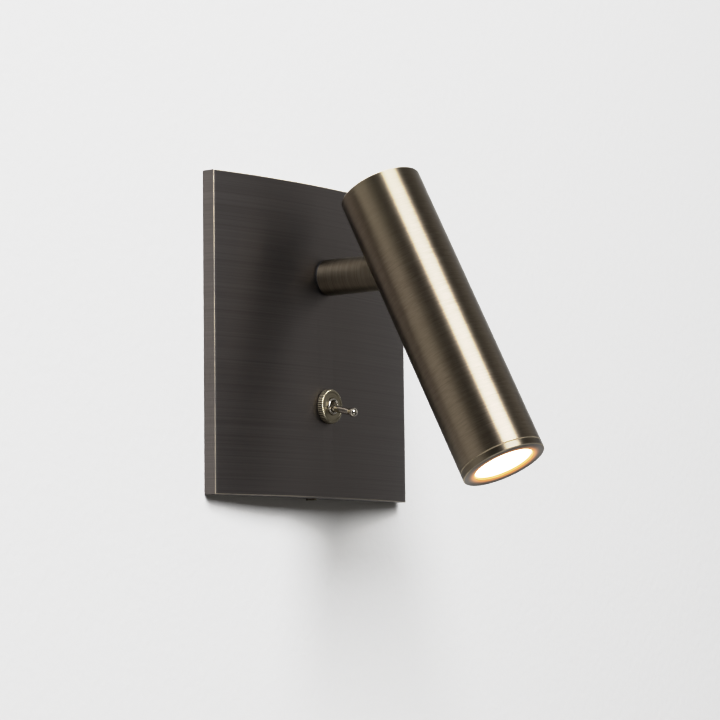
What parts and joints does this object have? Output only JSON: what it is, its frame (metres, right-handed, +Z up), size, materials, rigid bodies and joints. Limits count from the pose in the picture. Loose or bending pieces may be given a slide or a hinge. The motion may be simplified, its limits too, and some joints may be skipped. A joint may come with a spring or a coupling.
{
  "type": "wall reading lamp",
  "caption": "Square arched wall plate with a short swivelling arm, a tilting cylindrical spot head and a toggle switch.",
  "frame": {"origin": "on the wall plane behind the middle of the square cover, which is the middle of the box screw slots", "axes": "+X to the right along the wall, +Y into the wall, +Z up; the lamp stands out along -Y"},
  "size_m": [0.12, 0.1294, 0.1241],
  "materials": {
    "cover_bronze": "satin, fine horizontal brushing",
    "turned_bronze": "satin, fine brushing round the tube",
    "dark_screw": "satin",
    "zinc_steel": "satin",
    "bright_nickel": "polished",
    "antique_brass": "aged",
    "plain_brass": "plain",
    "cast_zinc": "as cast",
    "plain_aluminium": "satin",
    "black_nylon": "matte",
    "black_plastic": "matte",
    "white_plastic": "matte",
    "circuit_board": "satin",
    "grey_pad": "matte",
    "led_dome": "gloss",
    "clear_lens": "clear",
    "black_rubber": "matte",
    "frosted_window": "frosted",
    "green_sleeve": "satin",
    "blue_sleeve": "satin",
    "brown_sleeve": "satin",
    "black_sleeve": "satin"
  },
  "bodies": {
    "wall_base": {"front_cover": "cover_bronze", "cover_screw": "dark_screw", "mounting_bracket": "zinc_steel", "swivel_bush": "black_nylon", "swivel_stop_pin": "zinc_steel", "switch_body": "black_plastic", "switch_frame": "zinc_steel", "switch_bushing": "bright_nickel", "switch_lock_washer": "zinc_steel", "switch_back_nut": "zinc_steel", "switch_dress_nut": "antique_brass", "switch_terminals": "bright_nickel", "driver_case": "white_plastic", "driver_lid": "white_plastic", "driver_board": "circuit_board", "driver_screws": "zinc_steel", "terminal_block": "white_plastic", "terminal_clamps": "plain_brass", "terminal_screws": "zinc_steel", "terminal_fixing_screw": "zinc_steel", "earth_stud": "zinc_steel", "earth_washer": "zinc_steel", "earth_nut": "zinc_steel", "earth_lug": "bright_nickel", "earth_lead": "green_sleeve", "neutral_lead": "blue_sleeve", "switch_leads": "brown_sleeve", "driver_output_lead": "black_sleeve"},
    "lever": {"switch_lever": "bright_nickel"},
    "arm": {"arm_tube": "turned_bronze", "arm_nipple": "plain_brass", "stop_washer": "zinc_steel", "wave_washer": "zinc_steel", "arm_lock_nut": "plain_brass", "arm_lead": "black_sleeve", "pivot_screws": "zinc_steel", "tilt_washers": "black_nylon", "tilt_spring_washers": "zinc_steel"},
    "head": {"head_shell": "turned_bronze", "rear_cap": "turned_bronze", "rear_cap_screws": "dark_screw", "hinge_core": "cast_zinc", "core_screws": "zinc_steel", "shell_grub_screw": "dark_screw", "heat_sink": "plain_aluminium", "thermal_pad": "grey_pad", "led_board": "circuit_board", "led_emitter": "led_dome", "lens_holder": "black_plastic", "lens": "clear_lens", "seal_ring": "black_rubber", "window": "frosted_window", "front_bezel": "turned_bronze", "head_lead": "black_sleeve"}
  },
  "joints": [
    {"name": "arm_swivel", "type": "hinge", "parent": "wall_base", "child": "arm", "pos_m": [0, -0.03, 0.02465], "axis": [0, -1, 0], "range_deg": [-160, 160]},
    {"name": "head_tilt", "type": "hinge", "parent": "arm", "child": "head", "pos_m": [0, -0.05355, 0.02465], "axis": [1, 0, 0], "range_deg": [-23.2, 26.8]},
    {"name": "switch_lever", "type": "hinge", "parent": "wall_base", "child": "lever", "pos_m": [0, -0.0108, -0.0251], "axis": [-1, 0, 0], "range_deg": [0, 24.4]}
  ]
}
